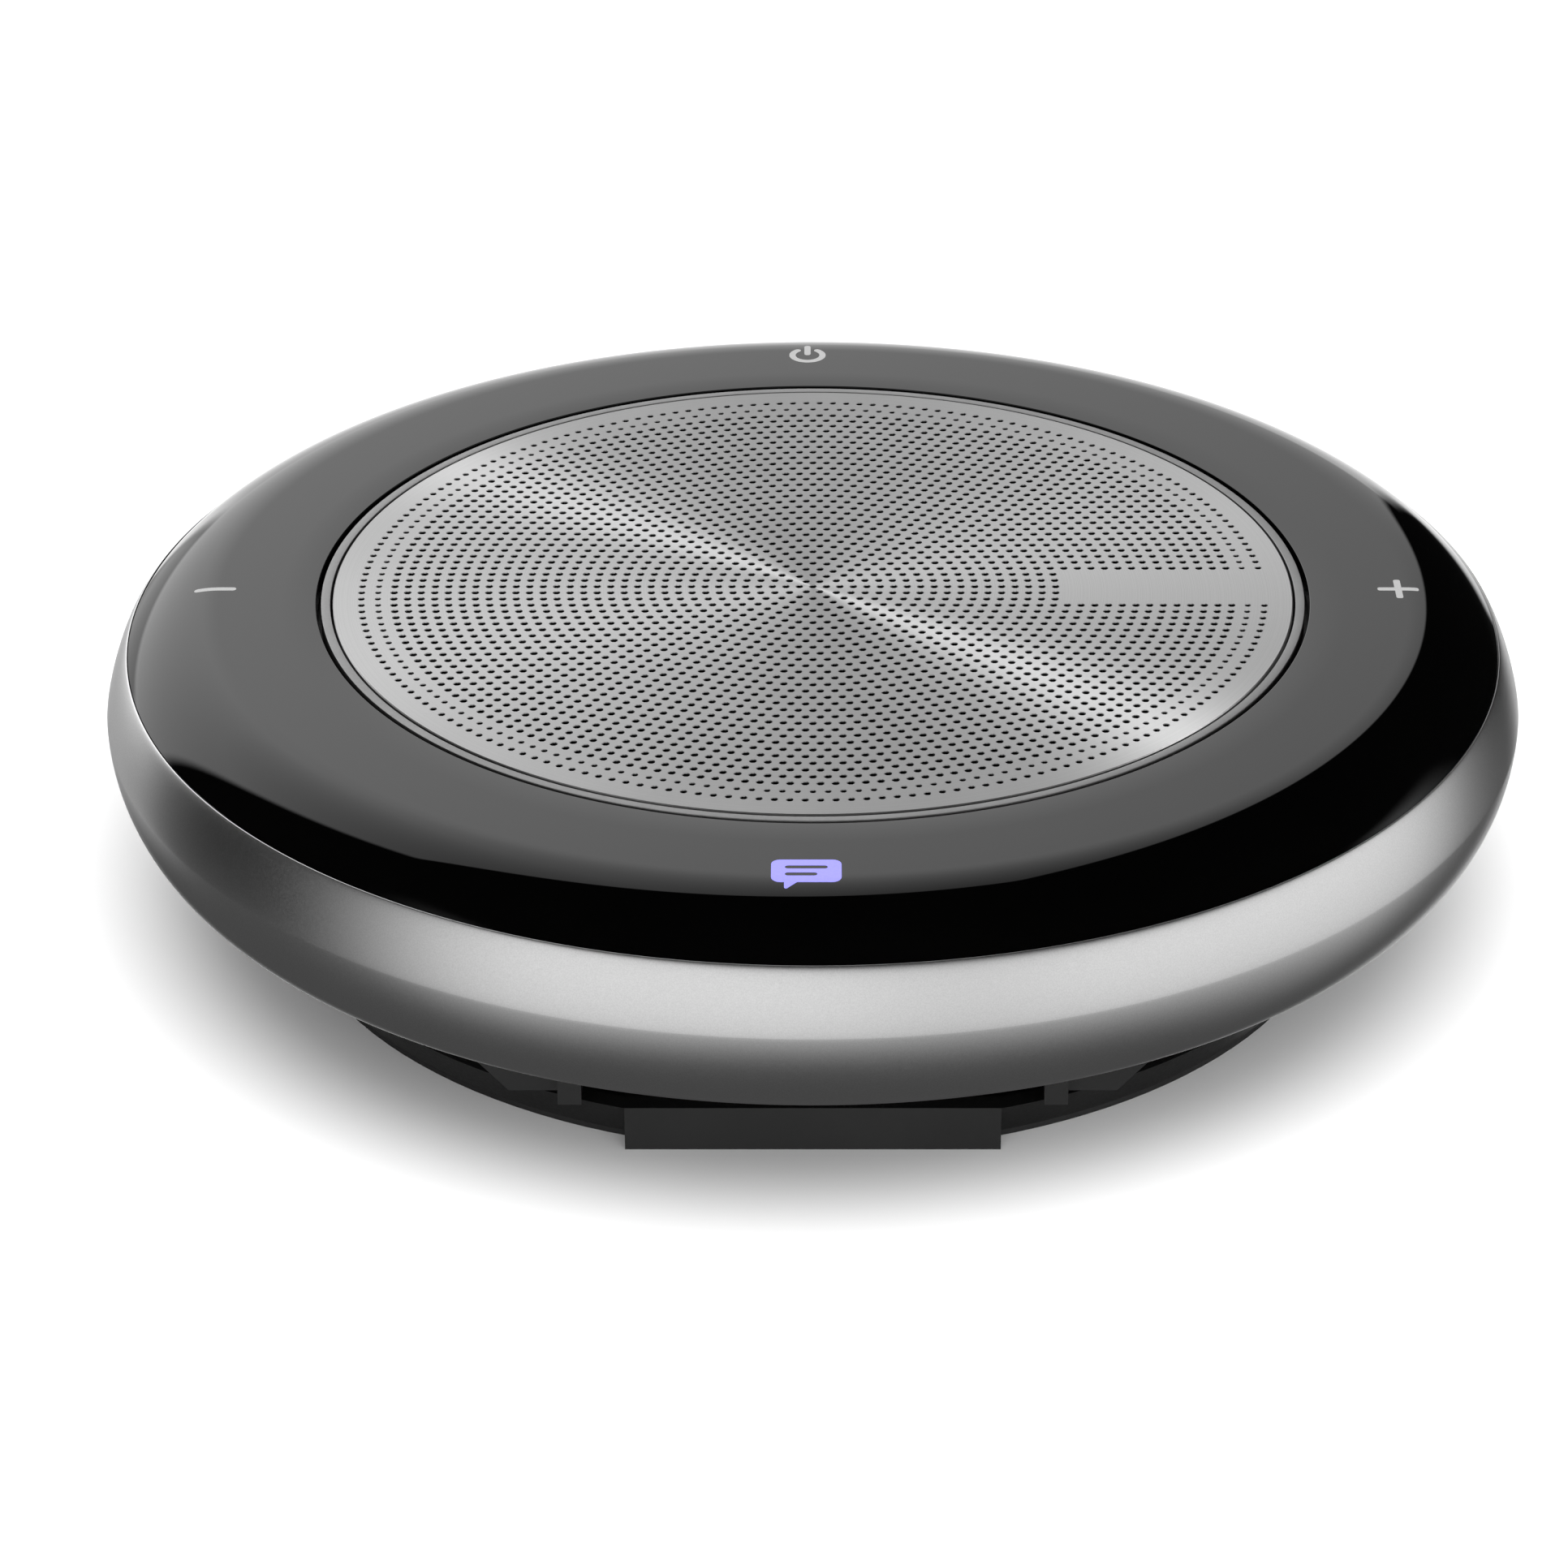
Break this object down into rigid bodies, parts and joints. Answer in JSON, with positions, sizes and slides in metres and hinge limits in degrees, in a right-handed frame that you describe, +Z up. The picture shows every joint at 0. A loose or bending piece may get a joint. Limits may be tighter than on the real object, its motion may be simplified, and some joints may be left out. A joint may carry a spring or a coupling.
{
  "type": "conference speakerphone",
  "caption": "Round table-top conference speakerphone: spun-metal speaker grille, gloss touch bezel with lit icons, satin housing ring and a grooved base that stows its cord.",
  "frame": {"origin": "on the table, at the axis of the round body", "axes": "+Z up along the body's axis, -Y towards the front facet and the front icon, +X to the right seen from the front"},
  "size_m": [0.12, 0.12, 0.0282],
  "materials": {
    "spun_aluminium": "spun, fine circular brushing, satin",
    "trim_grey": "satin grey",
    "bezel_gloss": "high gloss black",
    "housing_silver": "satin metallic paint with fine grain",
    "base_black": "fine matt texture",
    "foot_rubber": "matt",
    "mesh_fabric": "woven acoustic mesh",
    "frame_plastic": "moulded",
    "icon_diffuser": "diffusing",
    "icon_lit": "diffusing, lit violet",
    "circuit_board": "solder mask",
    "chip_black": "moulded",
    "connector_white": "moulded",
    "steel": "plated",
    "ferrite": "sintered",
    "copper_wire": "enamelled wire",
    "cone_paper": "pressed paper",
    "surround_rubber": "moulded rubber",
    "spider_cloth": "impregnated cloth",
    "foam": "open cell foam",
    "battery_wrap": "shrink film"
  },
  "bodies": {
    "housing": {"acoustic_mesh": "mesh_fabric", "audio_chip": "chip_black", "back_chamber": "frame_plastic", "base_screws": "steel", "base_tray": "base_black", "battery": "battery_wrap", "battery_connector": "connector_white", "battery_foam": "foam", "battery_tape": "foam", "board_screws": "steel", "bottom_shell": "base_black", "cable_gland": "foot_rubber", "cable_hub": "base_black", "chamber_screws": "steel", "cord_connector": "connector_white", "foot_pad": "foot_rubber", "frame_screws": "steel", "housing_ring": "housing_silver", "icon_led_back": "connector_white", "icon_led_front": "connector_white", "icon_led_left": "connector_white", "icon_led_right": "connector_white", "light_guide_back": "icon_diffuser", "light_guide_front": "icon_lit", "light_guide_left": "icon_diffuser", "light_guide_right": "icon_diffuser", "magnet": "ferrite", "main_board": "circuit_board", "mic_boot_1": "foot_rubber", "mic_boot_2": "foot_rubber", "mic_boot_3": "foot_rubber", "mic_boot_4": "foot_rubber", "microphone_1": "chip_black", "microphone_2": "chip_black", "microphone_3": "chip_black", "microphone_4": "chip_black", "plug_garage": "base_black", "power_chip": "chip_black", "radio_module": "chip_black", "shield_can": "steel", "speaker_basket": "frame_plastic", "speaker_connector": "connector_white", "speaker_gasket": "foam", "speaker_grille": "spun_aluminium", "speaker_terminal": "frame_plastic", "spider": "spider_cloth", "surround": "surround_rubber", "top_plate": "steel", "touch_bezel": "bezel_gloss", "touch_board": "circuit_board", "touch_flex": "circuit_board", "trim_ring": "trim_grey", "upper_frame": "frame_plastic", "yoke": "steel"},
    "cone_assembly": {"speaker_cone": "cone_paper", "dust_cap": "cone_paper", "coil_former": "cone_paper", "voice_coil": "copper_wire"}
  },
  "joints": [
    {"name": "cone_travel", "type": "slide", "parent": "housing", "child": "cone_assembly", "axis": [0, 0, 1], "range_m": [-0.0012, 0.0012], "stiffness_N_per_m": 900, "deforming": ["surround", "spider"]}
  ]
}
